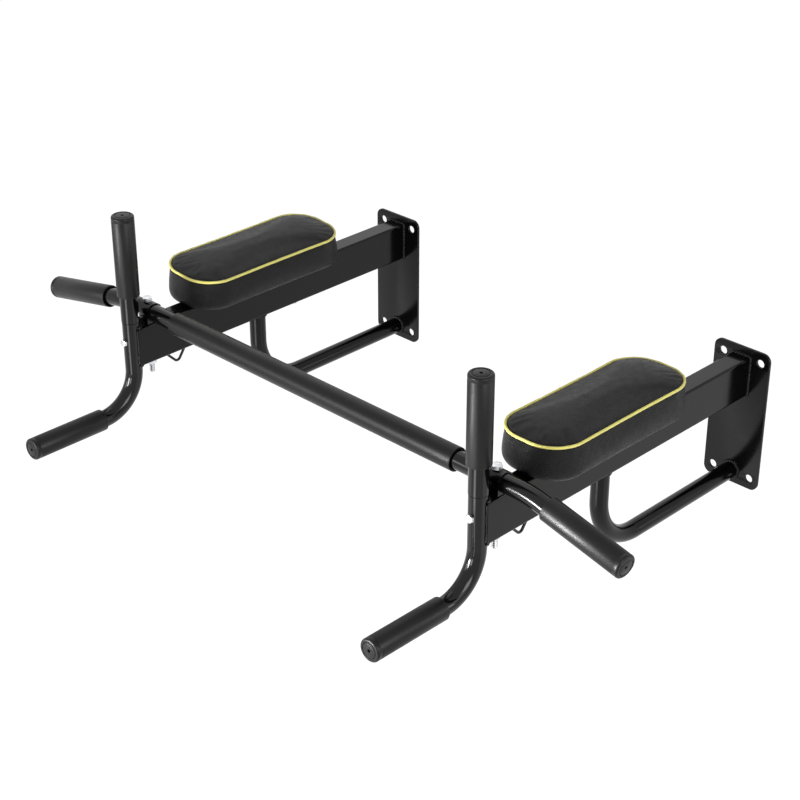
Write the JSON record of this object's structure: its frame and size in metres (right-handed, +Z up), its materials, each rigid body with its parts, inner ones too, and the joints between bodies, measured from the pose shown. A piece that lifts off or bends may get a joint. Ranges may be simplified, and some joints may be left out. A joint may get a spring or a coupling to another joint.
{
  "type": "wall-mounted dip station",
  "caption": "Wall-mounted dip and pull-up station: welded arms with padded rests, bent dip handles, upright grips and a cross bar with foam grips.",
  "frame": {"origin": "in the wall's plane, midway between the two arms and level with the tops of the arms", "axes": "+X along the wall to the right, +Y into the wall, +Z up"},
  "size_m": [1.089, 0.7287, 0.375],
  "materials": {
    "satin_black_paint": "satin black powder coat",
    "gloss_black_paint": "gloss black powder coat",
    "foam_rubber": "dense matte black foam with a moulded skin",
    "zinc_steel": "bright zinc plating",
    "inner_steel": "plain steel",
    "leatherette": "fine-grained black leatherette, dimpled on the sides",
    "yellow_piping": "glossy yellow vinyl cord",
    "plywood": "raw plywood",
    "pad_foam": "cut foam"
  },
  "bodies": {
    "root": {"wall_plate_left": "satin_black_paint", "arm_tube_left": "satin_black_paint", "brace_tube_left": "satin_black_paint", "handle_tube_left": "gloss_black_paint", "band_hook_left": "gloss_black_paint", "dip_grip_left": "foam_rubber", "upright_post_left": "gloss_black_paint", "post_spigot_left": "inner_steel", "upright_grip_left": "foam_rubber", "post_bolt_left": "zinc_steel", "post_nut_left": "zinc_steel", "post_rivet_left": "zinc_steel", "bar_cradle_left": "gloss_black_paint", "bar_saddle_left": "gloss_black_paint", "bar_bolt_left": "zinc_steel", "bar_washer_left": "zinc_steel", "bar_nut_left": "zinc_steel", "end_grip_left": "foam_rubber", "pad_board_left": "plywood", "pad_foam_left": "pad_foam", "pad_cover_left": "leatherette", "pad_piping_left": "yellow_piping", "pad_tnut_front_left": "zinc_steel", "pad_screw_front_left": "zinc_steel", "pad_tnut_rear_left": "zinc_steel", "pad_screw_rear_left": "zinc_steel", "wall_plate_right": "satin_black_paint", "arm_tube_right": "satin_black_paint", "brace_tube_right": "satin_black_paint", "handle_tube_right": "gloss_black_paint", "band_hook_right": "gloss_black_paint", "dip_grip_right": "foam_rubber", "upright_post_right": "gloss_black_paint", "post_spigot_right": "inner_steel", "upright_grip_right": "foam_rubber", "post_bolt_right": "zinc_steel", "post_nut_right": "zinc_steel", "post_rivet_right": "zinc_steel", "bar_cradle_right": "gloss_black_paint", "bar_saddle_right": "gloss_black_paint", "bar_bolt_right": "zinc_steel", "bar_washer_right": "zinc_steel", "bar_nut_right": "zinc_steel", "end_grip_right": "foam_rubber", "pad_board_right": "plywood", "pad_foam_right": "pad_foam", "pad_cover_right": "leatherette", "pad_piping_right": "yellow_piping", "pad_tnut_front_right": "zinc_steel", "pad_screw_front_right": "zinc_steel", "pad_tnut_rear_right": "zinc_steel", "pad_screw_rear_right": "zinc_steel", "pull_up_bar": "gloss_black_paint", "center_grip": "foam_rubber"}
  },
  "joints": []
}
